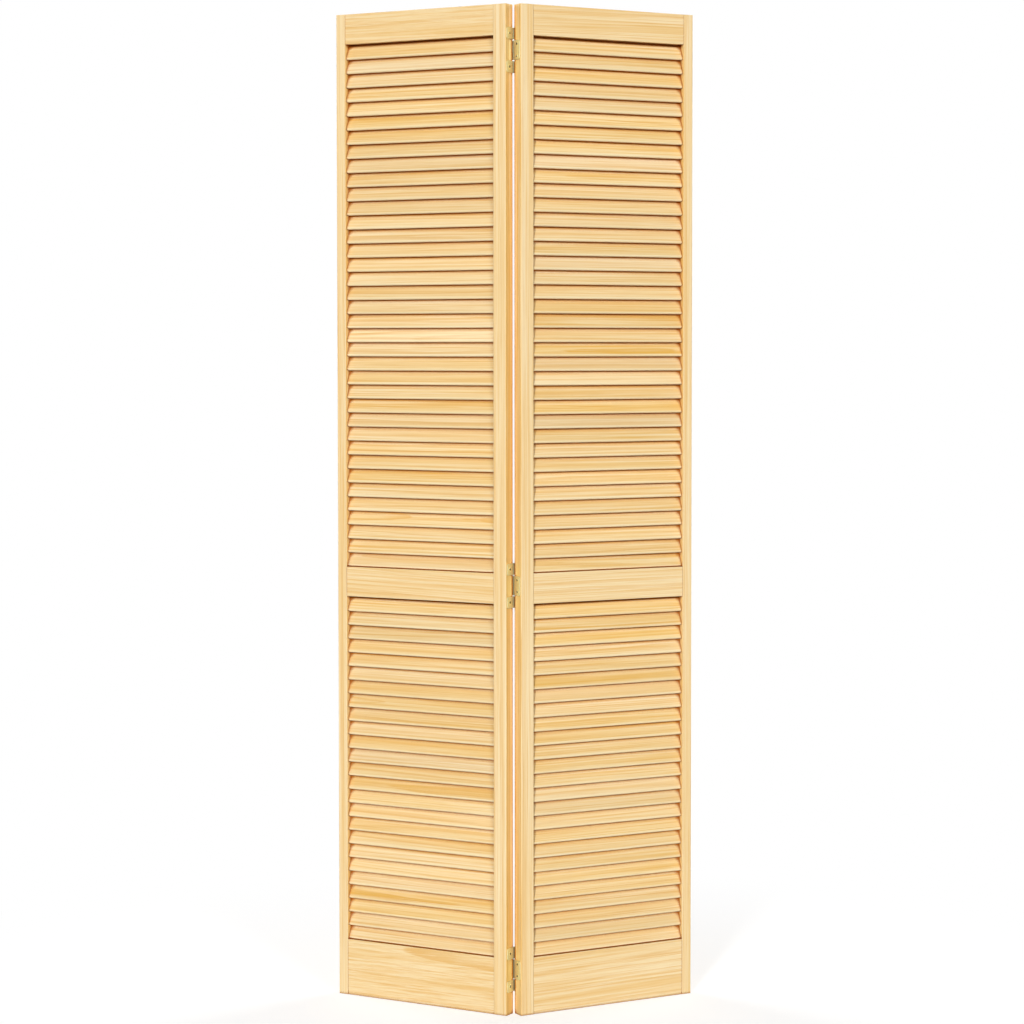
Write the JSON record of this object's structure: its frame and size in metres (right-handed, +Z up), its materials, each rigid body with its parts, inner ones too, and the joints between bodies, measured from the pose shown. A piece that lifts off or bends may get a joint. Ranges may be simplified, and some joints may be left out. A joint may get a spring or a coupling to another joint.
{
  "type": "louvred bi-fold closet door",
  "caption": "Pair of louvred pine door leaves, hinged together and standing half folded, with pivot holes in the outer corners.",
  "frame": {"origin": "on the floor, at the middle of the folded door's footprint", "axes": "+X to the viewer's right across both leaves, +Y from the room side to the closet side, +Z up"},
  "size_m": [0.7244, 0.218, 2.0066],
  "materials": {
    "stile_wood": "clear pine, sanded, grain upright",
    "rail_wood": "clear pine, sanded, grain along the rail",
    "slat_wood": "clear pine, sanded, grain along the slat",
    "hinge_brass": "brass plated, satin",
    "hinge_pin": "bright zinc plated"
  },
  "bodies": {
    "root": {"left_hinge_stile": "stile_wood", "left_outer_stile": "stile_wood", "left_top_rail": "rail_wood", "left_lock_rail": "rail_wood", "left_bottom_rail": "rail_wood", "left_upper_slats": "slat_wood", "left_lower_slats": "slat_wood", "right_hinge_stile": "stile_wood", "right_outer_stile": "stile_wood", "right_top_rail": "rail_wood", "right_lock_rail": "rail_wood", "right_bottom_rail": "rail_wood", "right_upper_slats": "slat_wood", "right_lower_slats": "slat_wood", "top_hinge_end_flaps": "hinge_brass", "top_hinge_middle_plate": "hinge_brass", "top_hinge_pin": "hinge_pin", "middle_hinge_end_flaps": "hinge_brass", "middle_hinge_middle_plate": "hinge_brass", "middle_hinge_pin": "hinge_pin", "bottom_hinge_end_flaps": "hinge_brass", "bottom_hinge_middle_plate": "hinge_brass", "bottom_hinge_pin": "hinge_pin"}
  },
  "joints": []
}
